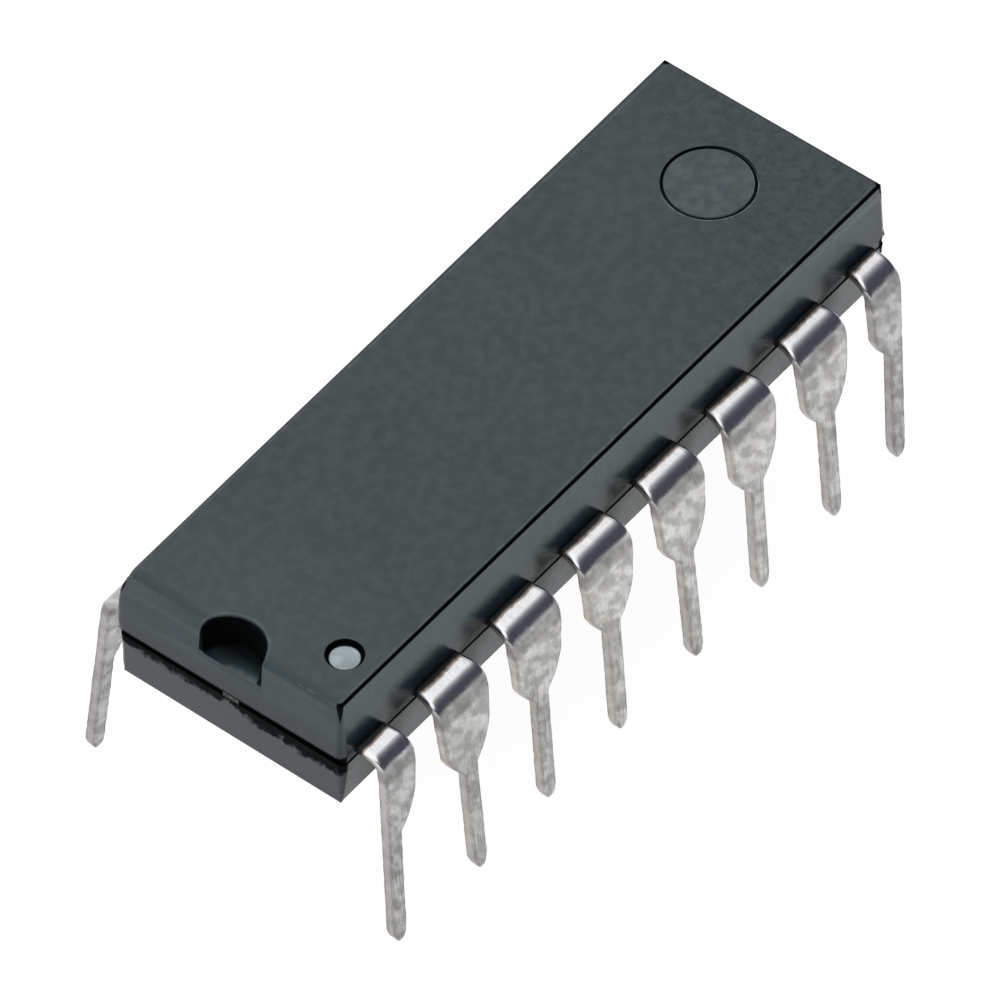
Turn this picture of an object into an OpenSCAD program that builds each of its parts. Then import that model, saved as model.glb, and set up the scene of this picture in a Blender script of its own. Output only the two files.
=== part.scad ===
// Sixteen-lead dual in-line circuit package. A transfer-moulded body in two drafted halves closes over a
// stamped lead frame: sixteen formed leads, a die paddle on two tie bars, the die and its bond wires.
// +X runs along the body away from the notch, and Z is 0 at the lead tips. Lead 1 stands in the near row
// (-Y) beside the notch; the numbers run along that row and come back along the far one.

/* [Moulded body] */
// Length of the body where its halves meet
body_len = 19.22; // [18.6:0.02:20]
// Width of the body where its halves meet
body_wid = 6.22; // [5.9:0.02:6.8]
// Height of the upper half above the lead frame
upper_h = 1.64; // [1.4:0.02:2.2]
// Depth of the lower half below the lead frame
lower_h = 1.24; // [0.9:0.02:1.8]
// Draft of the side and end faces in degrees
draft = 4; // [2:0.5:8]
// Radius of the upright corners at the top and bottom faces
corner_r = 0.1; // [0.1:0.01:0.25]
// Radius of the edges round the top and bottom faces
edge_r = 0.08; // [0.04:0.01:0.09]
// How far the lower half sits from the upper one, toward the far end
mould_shift = 0.06; // [0:0.01:0.12]
// How far the band between the halves is set back from them
band_recess = 0.07; // [0.03:0.01:0.12]
// How far it is set back at the two ends
end_recess = 0.14; // [0.08:0.01:0.2]

/* [Marks in the moulding] */
// Radius of the half-round notch at the top face
notch_r = 0.87; // [0.6:0.01:1.1]
// Depth of the notch
notch_depth = 1; // [0.5:0.05:1.2]
// How far the notch's centre lies outside the end of the top face
notch_out = 0.13; // [0:0.01:0.3]
// Radius of the dimple beside lead 1 at the top face
dimple_r = 0.43; // [0.3:0.01:0.55]
// Depth of the dimple
dimple_depth = 0.12; // [0.05:0.01:0.3]
// Distance of the dimple's centre from the notch end of the top face
dimple_from_end = 1.23; // [0.9:0.01:1.6]
// Distance of the dimple's centre from the near side of the top face
dimple_from_side = 0.86; // [0.75:0.01:1.5]
// Slope of the walls of the notch and the dimple in degrees
mark_draft = 8; // [2:1:15]
// Radius of the ejector-pin marks
ejector_r = 1.09; // [0.8:0.01:1.3]
// How far an ejector pin stood into the moulding
ejector_sink = 0.02; // [0.01:0.01:0.05]
// Width of the groove round an ejector-pin mark
groove_w = 0.06; // [0.03:0.01:0.1]
// Depth of that groove
groove_depth = 0.06; // [0.03:0.01:0.1]
// Distance of the top ejector mark's centre from the far end of the top face
ejector_from_end = 2.27; // [1.6:0.01:4]
// Distance of each underside ejector mark from the middle of the body
under_mark_x = 6; // [4:0.1:7.5]

/* [Leads] */
// Thickness of the lead frame
frame_t = 0.25; // [0.2:0.01:0.36]
// Spacing of the leads along a row
pitch = 2.54; // [2.5:0.01:2.56]
// Width of a lead's shoulder
shoulder_w = 1.48; // [1.14:0.01:1.78]
// Width of a lead's blade
blade_w = 0.42; // [0.36:0.01:0.56]
// Distance from the body to the bend
shoulder_reach = 0.41; // [0.3:0.01:0.6]
// Distance from the body to the line where the shoulder starts to slope
level_reach = 0.02; // [0.02:0.01:0.1]
// Slope of the shoulder from there to the bend in degrees
shoulder_slope = 10; // [2:1:15]
// Inner radius of the tight bend
bend_r = 0.15; // [0.1:0.01:0.3]
// Angle below level at which the tight bend ends in degrees
bend_turn = 78; // [65:1:79]
// Inner radius of the wide bend that follows it
sweep_r = 3.25; // [1:0.05:4]
// Lean of the blades away from upright in degrees
lead_lean = 4.65; // [2:0.05:8]
// Depth below the lead frame's middle where the shoulder starts to narrow
narrowing_z = 1.5; // [1.2:0.01:1.8]
// Height over which the shoulder narrows to the blade
narrowing_h = 0.95; // [0.6:0.01:1.2]
// How far the narrowing edge bulges from a straight line
narrowing_bulge = 0.08; // [0:0.01:0.12]
// Depth of the lead tips below the lead frame's middle
lead_drop = 5.74; // [5:0.02:6.2]
// Height of the tapered tip
tip_h = 0.45; // [0.2:0.01:0.6]
// How far a side of the tip bulges from a straight line
tip_bulge = 0.02; // [0:0.01:0.03]
// Width of the tip at its end
tip_w = 0.13; // [0.08:0.01:0.2]

/* [Lead frame inside the body] */
// How far a shoulder runs into the body
root_in = 0.62; // [0.5:0.01:0.8]
// Radius of the hole that locks a shoulder in the moulding
lock_hole_r = 0.14; // [0.1:0.01:0.18]
// Width of a finger between its shoulder and its tip
finger_w = 0.3; // [0.2:0.01:0.4]
// Length of the die paddle
paddle_len = 4.4; // [3.6:0.1:5]
// Width of the die paddle
paddle_wid = 2.4; // [2.2:0.05:2.6]
// Reach of the fan of finger tips past the paddle's ends
fan_end = 1.2; // [1:0.05:1.5]
// Reach of the fan of finger tips past the paddle's sides
fan_side = 0.8; // [0.7:0.01:0.9]
// Width of the tie bars that hold the paddle
tie_w = 0.43; // [0.3:0.01:0.5]
// How far the cut ends of the tie bars lie behind the ends of the body
tie_trim = 0.03; // [0:0.01:0.06]

/* [Die and bond wires] */
// Length of the die
die_len = 2.6; // [1.6:0.1:3.2]
// Width of the die
die_wid = 1.6; // [1.2:0.1:2]
// Thickness of the die
die_t = 0.3; // [0.2:0.01:0.4]
// Thickness of the adhesive under the die
attach_t = 0.04; // [0.03:0.01:0.06]
// Width of the adhesive that shows round the die
attach_rim = 0.08; // [0.04:0.01:0.1]
// Distance of the bond pads from the die's edges
pad_in = 0.15; // [0.12:0.01:0.3]
// Diameter of a bond wire
wire_d = 0.04; // [0.03:0.005:0.05]
// Rise of a bond wire's loop over its chord
loop_rise = 0.38; // [0.3:0.01:0.5]
// Radius of the ball that starts a bond wire
ball_r = 0.06; // [0.05:0.005:0.08]
// Height of that ball
ball_h = 0.05; // [0.05:0.005:0.06]
// Distance of a wire's landing from the end of its finger
landing_in = 0.22; // [0.15:0.01:0.3]

/* [Hidden] */
$fn = 64;

row_n = 8;
// How far each blade was knocked from the common lean in degrees, from lead 1 to lead 16
lean_knocks = [-1.6, 0.9, -0.4, 0.3, 1.6, 0.2, 1.3, -0.6, 0.4, -0.7, 0.8, 0.1, -0.5, 1.6, -0.3, 0.6];

// Flat facets along the tight bend, the wide bend and a bulging edge of a lead
bend_steps = 12;
sweep_steps = 4;
bulge_steps = 4;

// Angle in degrees at which a rounded upright corner meets its walls
corner_meet = 10;

// Amount by which cutters and joined shapes run past each other
over = 0.1;

frame_top = frame_t / 2;
frame_bottom = -frame_t / 2;
body_top = frame_top + upper_h;
body_bottom = frame_bottom - lower_h;
upper_x = -mould_shift / 2;
lower_x = mould_shift / 2;
top_len = body_len - 2 * upper_h * tan(draft);
top_wid = body_wid - 2 * upper_h * tan(draft);

half_shoulder = shoulder_w / 2;
half_blade = blade_w / 2;
face_y = body_wid / 2 - band_recess;
root_y = body_wid / 2 - root_in;
slope_y = body_wid / 2 + level_reach;
bend_y = body_wid / 2 + shoulder_reach;
bend_mid_r = bend_r + frame_t / 2;
sweep_mid_r = sweep_r + frame_t / 2;

die_base = frame_top + attach_t;
die_top = die_base + die_t;

// Directions in the plane across a row: 0 degrees is level and outward, and the angle grows downward
function along(a) = [cos(a), -sin(a)];
function outer_normal(a) = [sin(a), cos(a)];

function is_end(slot) = slot == 0 || slot == row_n - 1;
function slot_x(slot) = (slot - (row_n - 1) / 2) * pitch;
// An end lead has its shoulder on the inner side only
function shoulder_left(slot) = slot == 0 ? half_blade : half_shoulder;
function shoulder_right(slot) = slot == row_n - 1 ? half_blade : half_shoulder;
function shoulder_middle(slot) = slot_x(slot) + (shoulder_right(slot) - shoulder_left(slot)) / 2;

// The finger tips stand on half an ellipse round the paddle
function fan_angle(slot) = 180 * (slot + 1) / (row_n + 1);
function finger_tip(slot) = [
    -(paddle_len / 2 + fan_end) * cos(fan_angle(slot)),
    (paddle_wid / 2 + fan_side) * sin(fan_angle(slot))
];
function finger_root(slot) = [shoulder_middle(slot), root_y + finger_w / 2];
function unit(v) = v / norm(v);
function landing(slot) =
    finger_tip(slot) + landing_in * unit(finger_root(slot) - finger_tip(slot));
function bond_pad(slot) = [
    (2 * slot / (row_n - 1) - 1) * (die_len / 2 - pad_in),
    die_wid / 2 - pad_in
];

// Corners of a straight stroke of width w from point a to point b
function stroke(a, b, w) =
    let(side = w / 2 * [-unit(b - a).y, unit(b - a).x]) [a + side, b + side, b - side, a - side];

module at_frame() {
    translate([0, 0, lead_drop]) children();
}

// One side of a moulded half: drafted, with a rounded edge at the height h
module wall_profile(reach, h) {
    edge_x = reach - (h - edge_r) * tan(draft) - edge_r / cos(draft);
    edge_y = h - edge_r;
    polygon([
        [0, 0], [reach, 0],
        [edge_x + edge_r * cos(draft), edge_y + edge_r * sin(draft)],
        [edge_x, edge_y], [edge_x, h], [0, h]
    ]);
    translate([edge_x, edge_y]) intersection() {
        circle(r = edge_r);
        square(edge_r);
    }
}

module wall_profile_both(reach, h) {
    wall_profile(reach, h);
    mirror([1, 0]) wall_profile(reach, h);
}

// Cutter that rounds the four upright corners of a half. It meets the walls at corner_meet degrees, and
// its cones share the walls' draft.
module corner_cutter(h) {
    foot = corner_r + h * tan(draft);
    low = foot + over * tan(draft);
    high = corner_r - over * tan(draft);
    for (x = [0, 1], y = [0, 1])
        mirror([x, 0, 0]) mirror([0, y, 0])
            translate([body_len / 2 - foot, body_wid / 2 - foot, -over]) difference() {
                cube([low + over, low + over, h + 2 * over]);
                cylinder(
                    h = h + 2 * over,
                    r1 = low / cos(corner_meet),
                    r2 = high / cos(corner_meet)
                );
            }
}

// A moulded half, standing on its parting face: two crossed drafted blocks with rounded corners
module moulded_half(h) {
    difference() {
        intersection() {
            rotate([90, 0, 90])
                linear_extrude(height = body_len, center = true)
                    wall_profile_both(body_wid / 2, h);
            rotate([90, 0, 0])
                linear_extrude(height = body_wid, center = true)
                    wall_profile_both(body_len / 2, h);
        }
        corner_cutter(h);
    }
}

// The mark of an ejector pin in a face at height 0: a shallow disc with a groove round it
module ejector_mark() {
    translate([0, 0, -ejector_sink]) cylinder(r = ejector_r, h = ejector_sink + over);
    translate([0, 0, -groove_depth]) difference() {
        cylinder(r = ejector_r, h = groove_depth + over);
        translate([0, 0, -over]) cylinder(r = ejector_r - groove_w, h = groove_depth + 3 * over);
    }
}

// A round recess of radius r at height 0 whose wall slopes in toward its floor
module drafted_recess(r, depth) {
    translate([0, 0, -depth])
        cylinder(
            h = depth + over,
            r1 = r - depth * tan(mark_draft),
            r2 = r + over * tan(mark_draft)
        );
}

// Plan of the part of a lead that the moulding holds, out to the distance out_y from the middle
module finger_plan(slot, out_y) {
    difference() {
        union() {
            translate([slot_x(slot) - shoulder_left(slot), root_y])
                square([shoulder_left(slot) + shoulder_right(slot), out_y - root_y]);
            polygon(stroke(finger_root(slot), finger_tip(slot), finger_w));
        }
        translate([shoulder_middle(slot), (root_y + face_y) / 2]) circle(r = lock_hole_r);
    }
}

module held_finger(slot, out_y) {
    translate([0, 0, frame_bottom])
        linear_extrude(height = frame_t) finger_plan(slot, out_y);
}

// Points of a bend round a centre, offset from the sheet's middle, between two directions
function bend_points(centre, r, from, to, steps) =
    [for (i = [0:steps]) centre + r * outer_normal(from + (to - from) * i / steps)];

// One face of the sheet at a distance off its middle: shoulder, tight bend, wide bend, blade
function sheet_face(lean, off) =
    let(
        turn = 90 - lean,
        bend_start = [bend_y, -(bend_y - slope_y) * tan(shoulder_slope)],
        bend_centre = bend_start - bend_mid_r * outer_normal(shoulder_slope),
        sweep_centre = bend_centre + (bend_mid_r - sweep_mid_r) * outer_normal(bend_turn),
        blade_start = sweep_centre + (sweep_mid_r + off) * outer_normal(turn),
        blade_run = (lead_drop + blade_start.y + over) / cos(lean)
    )
    concat(
        [[face_y - over, off], [slope_y + off * tan(shoulder_slope / 2), off]],
        bend_points(bend_centre, bend_mid_r + off, shoulder_slope, bend_turn, bend_steps),
        bend_points(sweep_centre, sweep_mid_r + off, bend_turn + 1, turn, sweep_steps),
        [blade_start + blade_run * along(turn)]
    );

function reversed(list) = [for (i = [len(list) - 1:-1:0]) list[i]];

// The sheet of a lead seen along the row
module sheet_profile(lean) {
    polygon(concat(sheet_face(lean, frame_t / 2), reversed(sheet_face(lean, -frame_t / 2))));
}

// Points from one end to the other of an edge that bulges to its left
function bulging_edge(from, to, bulge) =
    let(left = unit([from.y - to.y, to.x - from.x]))
    [for (i = [0:bulge_steps])
        let(t = i / bulge_steps) from + t * (to - from) + 4 * bulge * t * (1 - t) * left];

// One side of a lead seen from outside its row, from the shoulder down: narrowing, blade and tapered tip
function lead_side(reach) =
    let(narrow_z = -narrowing_z - narrowing_h, tip_z = -lead_drop + tip_h)
    concat(
        [[reach, frame_t]],
        reach > half_blade
            ? bulging_edge([reach, -narrowing_z], [half_blade, narrow_z], narrowing_bulge)
            : [],
        bulging_edge([half_blade, tip_z], [tip_w / 2, -lead_drop], tip_bulge)
    );

module front_outline(slot) {
    left_side = reversed(lead_side(shoulder_left(slot)));
    polygon(concat(lead_side(shoulder_right(slot)), [for (p = left_side) [-p.x, p.y]]));
}

// A lead of the far row; the near row mirrors it
module formed_lead(slot, lean) {
    row_reach = body_wid + 2 * lead_drop;
    held_finger(slot, face_y);
    translate([slot_x(slot), 0, 0]) intersection() {
        rotate([90, 0, 90])
            linear_extrude(height = 2 * shoulder_w, center = true) sheet_profile(lean);
        rotate([90, 0, 0])
            linear_extrude(height = 2 * row_reach, center = true) front_outline(slot);
    }
}

module in_row(number) {
    mirror([0, number <= row_n ? 1 : 0, 0]) children();
}

function slot_of(number) = number <= row_n ? number - 1 : 2 * row_n - number;

module lead(number) {
    color([0.72, 0.71, 0.68])
        at_frame() in_row(number)
            formed_lead(slot_of(number), lead_lean + lean_knocks[number - 1]);
}

// The loop of a bond wire is one arc from its ball on the die down to the finger it lands on
module wire_loop(slot) {
    from = bond_pad(slot);
    to = landing(slot);
    run = norm(to - from);
    start_z = die_top + ball_h / 2;
    fall = start_z - frame_top;
    chord = norm([run, fall]);
    slope = atan2(fall, run);
    loop_r = (chord * chord / 4 + loop_rise * loop_rise) / (2 * loop_rise);
    half_turn = asin(chord / 2 / loop_r);
    run_on = 180 / PI * 2 * wire_d / loop_r / sin(half_turn + slope);
    centre_x = run / 2 - (loop_r - loop_rise) * sin(slope);
    centre_z = (start_z + frame_top) / 2 - (loop_r - loop_rise) * cos(slope);
    difference() {
        translate(from) rotate([0, 0, atan2(to.y - from.y, to.x - from.x)])
            translate([centre_x, 0, centre_z]) rotate([90, 0, 0])
                rotate([0, 0, 90 - slope - half_turn - run_on])
                    rotate_extrude(angle = 2 * half_turn + run_on)
                        translate([loop_r, 0]) circle(d = wire_d, $fn = 8);
        translate([-body_len / 2, -body_wid / 2, frame_top - body_wid])
            cube([body_len, body_wid, body_wid]);
    }
}

module bonded_wire(slot) {
    wire_loop(slot);
    translate([bond_pad(slot).x, bond_pad(slot).y, die_top]) cylinder(r = ball_r, h = ball_h);
}

module bond_wire(number) {
    color([0.85, 0.66, 0.3]) at_frame() in_row(number) bonded_wire(slot_of(number));
}

module paddle_shape() {
    tie_len = body_len - 2 * tie_trim;
    translate([0, 0, frame_bottom]) linear_extrude(height = frame_t) {
        square([paddle_len, paddle_wid], center = true);
        square([tie_len, tie_w], center = true);
    }
}

module die_paddle() {
    color([0.72, 0.71, 0.68]) at_frame() paddle_shape();
}

module attach_shape() {
    translate([0, 0, frame_top]) linear_extrude(height = attach_t)
        square([die_len + 2 * attach_rim, die_wid + 2 * attach_rim], center = true);
}

module die_attach() {
    color([0.55, 0.55, 0.57]) at_frame() attach_shape();
}

module die_shape() {
    translate([0, 0, die_base]) linear_extrude(height = die_t)
        square([die_len, die_wid], center = true);
}

module silicon_die() {
    color([0.3, 0.33, 0.4]) at_frame() die_shape();
}

// The two halves and the set-back band between them, with nothing cut yet
module moulding() {
    translate([upper_x, 0, frame_top]) moulded_half(upper_h);
    translate([lower_x, 0, frame_bottom]) mirror([0, 0, 1]) moulded_half(lower_h);
    translate([-body_len / 2 + end_recess, -face_y, frame_bottom - over])
        cube([body_len - 2 * end_recess, 2 * face_y, frame_t + 2 * over]);
}

module moulded_marks() {
    translate([upper_x - top_len / 2 - notch_out, 0, body_top])
        drafted_recess(notch_r, notch_depth);
    translate([
        upper_x - top_len / 2 + dimple_from_end, -top_wid / 2 + dimple_from_side, body_top
    ]) drafted_recess(dimple_r, dimple_depth);
    translate([upper_x + top_len / 2 - ejector_from_end, 0, body_top]) ejector_mark();
    for (side = [-1, 1])
        translate([lower_x + side * under_mark_x, 0, body_bottom]) mirror([0, 0, 1]) ejector_mark();
}

module moulded_body() {
    color([0.27, 0.29, 0.3]) at_frame() difference() {
        moulding();
        moulded_marks();
        for (number = [1:2 * row_n])
            in_row(number) held_finger(slot_of(number), face_y + over);
        paddle_shape();
        attach_shape();
        die_shape();
        for (number = [1:2 * row_n]) in_row(number) bonded_wire(slot_of(number));
    }
}

moulded_body();
lead(1);  // lead_01
lead(2);  // lead_02
lead(3);  // lead_03
lead(4);  // lead_04
lead(5);  // lead_05
lead(6);  // lead_06
lead(7);  // lead_07
lead(8);  // lead_08
lead(9);  // lead_09
lead(10);  // lead_10
lead(11);  // lead_11
lead(12);  // lead_12
lead(13);  // lead_13
lead(14);  // lead_14
lead(15);  // lead_15
lead(16);  // lead_16
die_paddle();
die_attach();
silicon_die();
bond_wire(1);  // bond_wire_01
bond_wire(2);  // bond_wire_02
bond_wire(3);  // bond_wire_03
bond_wire(4);  // bond_wire_04
bond_wire(5);  // bond_wire_05
bond_wire(6);  // bond_wire_06
bond_wire(7);  // bond_wire_07
bond_wire(8);  // bond_wire_08
bond_wire(9);  // bond_wire_09
bond_wire(10);  // bond_wire_10
bond_wire(11);  // bond_wire_11
bond_wire(12);  // bond_wire_12
bond_wire(13);  // bond_wire_13
bond_wire(14);  // bond_wire_14
bond_wire(15);  // bond_wire_15
bond_wire(16);  // bond_wire_16
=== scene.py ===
import math
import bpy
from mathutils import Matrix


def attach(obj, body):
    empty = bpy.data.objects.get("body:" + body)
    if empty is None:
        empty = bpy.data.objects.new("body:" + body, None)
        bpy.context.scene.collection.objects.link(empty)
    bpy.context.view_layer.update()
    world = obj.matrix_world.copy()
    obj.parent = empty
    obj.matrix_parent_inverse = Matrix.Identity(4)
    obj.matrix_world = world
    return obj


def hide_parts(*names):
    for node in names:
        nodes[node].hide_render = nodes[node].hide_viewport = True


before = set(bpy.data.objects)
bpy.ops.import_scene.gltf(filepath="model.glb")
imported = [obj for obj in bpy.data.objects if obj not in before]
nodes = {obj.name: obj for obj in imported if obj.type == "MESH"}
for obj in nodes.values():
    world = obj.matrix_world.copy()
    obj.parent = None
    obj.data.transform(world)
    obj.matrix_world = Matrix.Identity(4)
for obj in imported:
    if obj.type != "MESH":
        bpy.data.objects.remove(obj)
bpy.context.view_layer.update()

from types import SimpleNamespace

import bmesh
import bpy
import numpy as np
from mathutils import Matrix, Vector

mm = 0.001                      # lengths below are in millimetres, meshes in metres
print("frame loaded:", len(nodes), "nodes")


def addObject(name, data):
    thing = bpy.data.objects.new(name, data)
    bpy.context.scene.collection.objects.link(thing)
    return thing


# Camera: its direction round the package, and how large a millimetre is in the picture

cameraView = {
    "azimuth": -51.852,             # degrees round +Z from the near row's side
    "elevation": 49.296,            # degrees above the floor
    "roll": -0.007,
    "distance": 342.35,             # from the aim point
    "pixelsPerMillimetre": 45.768,  # at the aim point, in a picture 1000 wide
    "aimHeight": 5.74,              # the middle of the lead frame
    "aimRight": -0.116,             # how far the picture's middle lies from the body's middle
    "aimUp": -1.484,
    "pictureSize": 1000,
    "sensor": 36.0,
}


def makeCamera(view):
    # Looks back along a direction given by azimuth and elevation, with the picture's axes turned by the roll
    azimuth, elevation, roll = (math.radians(view[k]) for k in ("azimuth", "elevation", "roll"))
    back = Vector((
        math.sin(azimuth) * math.cos(elevation),
        -math.cos(azimuth) * math.cos(elevation),
        math.sin(elevation),
    ))
    level = Vector((math.cos(azimuth), math.sin(azimuth), 0.0))
    upright = back.cross(level)
    right = math.cos(roll) * level + math.sin(roll) * upright
    up = math.cos(roll) * upright - math.sin(roll) * level
    place = right * view["aimRight"] + up * view["aimUp"] + back * view["distance"]
    place.z += view["aimHeight"]
    place *= mm
    data = bpy.data.cameras.new("viewCamera")
    data.sensor_fit = "HORIZONTAL"
    data.sensor_width = view["sensor"]
    data.lens = view["pixelsPerMillimetre"] * view["distance"] / view["pictureSize"] * view["sensor"]
    data.clip_start = 0.01
    data.clip_end = 20.0
    camera = addObject("viewCamera", data)
    camera.matrix_world = Matrix.Translation(place) @ Matrix((right, up, back)).transposed().to_4x4()
    bpy.context.scene.camera = camera


makeCamera(cameraView)
print("camera placed")


# Floor, sky and lamp

studioLook = {
    "floorSize": 1600.0,
    "floorGrey": 0.82,              # what the floor throws back on the package
    "floorSeenGrey": 0.16,          # the part of the floor seen by the camera that still takes shadows
    "floorSeenGlow": 0.94,          # and the part that is plain white
    "skyTilt": (-0.300, 0.572, 0.763),      # the bright side of the sky stands over the far row and the notch
    "skyStops": [(0.0, (0.064, 0.070, 0.088)), (0.14, (0.080, 0.092, 0.122)), (0.26, (0.150, 0.160, 0.185)),
                 (0.36, (0.26, 0.27, 0.29)), (0.46, 0.55), (0.56, 1.05), (1.0, 1.28)],
    "lampPlace": (150.0, 118.0, 226.0),
    "lampSize": 44.0,
    "lampPower": 0.036,
}


# Finishes are written as formulas of node outputs

class Signal:
    # A node's output to calculate with: each sign in a formula adds one Math node to the same tree
    def __init__(self, socket):
        self.socket = socket
        self.tree = socket.id_data

    def __add__(self, other):
        return maths("ADD", self, other)

    def __sub__(self, other):
        return maths("SUBTRACT", self, other)

    def __rsub__(self, other):
        return maths("SUBTRACT", other, self)

    def __mul__(self, other):
        return maths("MULTIPLY", self, other)

    def __truediv__(self, other):
        return maths("DIVIDE", self, other)

    def __rtruediv__(self, other):
        return maths("DIVIDE", other, self)

    def __abs__(self):
        return maths("ABSOLUTE", self)

    __rmul__ = __mul__


def feed(value, socket):
    # A socket takes a signal, a plain number or a colour
    if isinstance(value, Signal):
        value.tree.links.new(value.socket, socket)
    elif isinstance(value, tuple) and len(value) == 3 and socket.type == "RGBA":
        socket.default_value = (*value, 1.0)
    else:
        socket.default_value = value


def addNode(tree, kind, values=None, **settings):
    node = tree.nodes.new(kind)
    for key, value in settings.items():
        setattr(node, key, value)
    for socket, value in (values or {}).items():
        feed(value, node.inputs[socket])
    return node


def out(node, which=0):
    return Signal(node.outputs[which])


def treeOf(*values):
    return next(value.tree for value in values if isinstance(value, Signal))


def maths(operation, *values, clamp=False):
    tree = treeOf(*values)
    return out(addNode(tree, "ShaderNodeMath", dict(enumerate(values)), operation=operation, use_clamp=clamp))


def mixed(amount, first, second, blend="MIX"):
    tree = treeOf(amount, first, second)
    values = {0: amount, 6: first, 7: second}
    return out(addNode(tree, "ShaderNodeMix", values, data_type="RGBA", blend_type=blend), 2)


def tinted(amount, base, tone):
    # The base multiplied by a tone, as far as the amount says
    return mixed(amount, base, mixed(1.0, base, tone, "MULTIPLY"))


def eased(value, low, high, toLow=0.0, toHigh=1.0):
    # Smooth step of a value from low to high
    values = {"Value": value, "From Min": low, "From Max": high, "To Min": toLow, "To Max": toHigh}
    return out(addNode(value.tree, "ShaderNodeMapRange", values, interpolation_type="SMOOTHSTEP"), "Result")


def band(value, low, high, soft):
    # 1 between low and high, with soft ends
    return eased(value, low - soft, low + soft) * eased(value, high + soft, high - soft)


def strongest(*masks):
    total = masks[0]
    for mask in masks[1:]:
        total = maths("MAXIMUM", total, mask)
    return total


def ramp(factor, stops):
    node = addNode(factor.tree, "ShaderNodeValToRGB", {0: factor})
    elements = node.color_ramp.elements
    while len(elements) < len(stops):
        elements.new(0.5)
    for element, (position, colour) in zip(elements, stops):
        element.position = position
        grey = isinstance(colour, (int, float))
        element.color = (colour, colour, colour, 1.0) if grey else (*colour, 1.0)
    return out(node)


def newMaterial(name):
    material = bpy.data.materials.new(name)
    material.use_nodes = True
    tree = material.node_tree
    tree.nodes.clear()
    return material, tree, tree.nodes.new("ShaderNodeOutputMaterial").inputs["Surface"]


def newFinish(name, constants=None):
    # A material with one Principled shader, and the sockets that its finish feeds
    material, tree, surface = newMaterial(name)
    shader = addNode(tree, "ShaderNodeBsdfPrincipled", constants)
    feed(out(shader), surface)
    return material, tree, shader.inputs


def makeFloor(look):
    half = look["floorSize"] / 2 * mm
    mesh = bpy.data.meshes.new("floor")
    corners = np.array([(-1, -1, 0), (1, -1, 0), (1, 1, 0), (-1, 1, 0)], float) * half
    mesh.from_pydata(corners.tolist(), [], [(0, 1, 2, 3)])
    material, tree, surface = newMaterial("floorPaper")
    rays = addNode(tree, "ShaderNodeLightPath")
    seen = strongest(*(out(rays, "Is %s Ray" % kind) for kind in ("Camera", "Glossy", "Transmission")))
    colour = mixed(seen, (look["floorGrey"],) * 3, (look["floorSeenGrey"],) * 3)
    paper = addNode(tree, "ShaderNodeBsdfDiffuse", {"Color": colour})
    glow = addNode(tree, "ShaderNodeEmission", {"Strength": seen * look["floorSeenGlow"]})
    feed(out(addNode(tree, "ShaderNodeAddShader", {0: out(paper), 1: out(glow)})), surface)
    mesh.materials.append(material)
    addObject("floor", mesh)


def makeSky(look):
    # The sky's brightness depends on the angle between a direction and the tilted axis: a large soft
    # screen over the far side, and a dim room on the near side
    world = bpy.data.worlds.new("studio")
    bpy.context.scene.world = world
    world.use_nodes = True
    tree = world.node_tree
    tree.nodes.clear()
    direction = out(addNode(tree, "ShaderNodeTexCoord"), "Generated")
    values = {0: direction, 1: look["skyTilt"]}
    along = out(addNode(tree, "ShaderNodeVectorMath", values, operation="DOT_PRODUCT"), "Value")
    background = addNode(tree, "ShaderNodeBackground", {"Color": ramp(along, look["skyStops"])})
    feed(out(background), tree.nodes.new("ShaderNodeOutputWorld").inputs["Surface"])


def makeLamp(look):
    data = bpy.data.lights.new("softLamp", "AREA")
    data.shape = "DISK"
    data.size = look["lampSize"] * mm
    data.energy = look["lampPower"]
    place = Vector(look["lampPlace"]) * mm
    turn = place.to_track_quat("Z", "Y").to_matrix().to_4x4()
    addObject("softLamp", data).matrix_world = Matrix.Translation(place) @ turn


makeFloor(studioLook)
makeSky(studioLook)
makeLamp(studioLook)
bpy.context.scene.view_settings.view_transform = "Standard"
print("studio made")


# Effects that several finishes share, each built once as a node group

def newGroup(name, inputs, outputs):
    # Gives the group, its inputs as signals and the sockets of its outputs
    group = bpy.data.node_groups.new(name, "ShaderNodeTree")
    for label, kind, value in inputs:
        socket = group.interface.new_socket(label, in_out="INPUT", socket_type="NodeSocket" + kind)
        if value is not None:
            socket.default_value = value
    for label in outputs:
        group.interface.new_socket(label, in_out="OUTPUT", socket_type="NodeSocketFloat")
    start = group.nodes.new("NodeGroupInput")
    signals = [out(start, label) for label, kind, value in inputs]
    return group, signals, group.nodes.new("NodeGroupOutput").inputs


def noise(place, size, detail=2.0, roughness=0.5):
    # size is the noise's grain in the units of the place vector
    values = {"Vector": place, "Scale": 1.0 / size, "Detail": detail, "Roughness": roughness}
    return out(addNode(place.tree, "ShaderNodeTexNoise", values))


def makeGrainGroup():
    # Fine and coarse noise added together: the skin of something cast or dipped
    inputs = [("Place", "Vector", None), ("Size", "Float", 0.1), ("Coarse Share", "Float", 0.4)]
    group, (place, size, share), end = newGroup("grain", inputs, ["Height", "Mottle"])
    fine = noise(place, size, 3.0, 0.6)
    coarse = noise(place, size * 4.0, 3.0, 0.55)
    feed(coarse * share + fine * (1.0 - share), end["Height"])
    feed(coarse, end["Mottle"])
    return group


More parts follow.
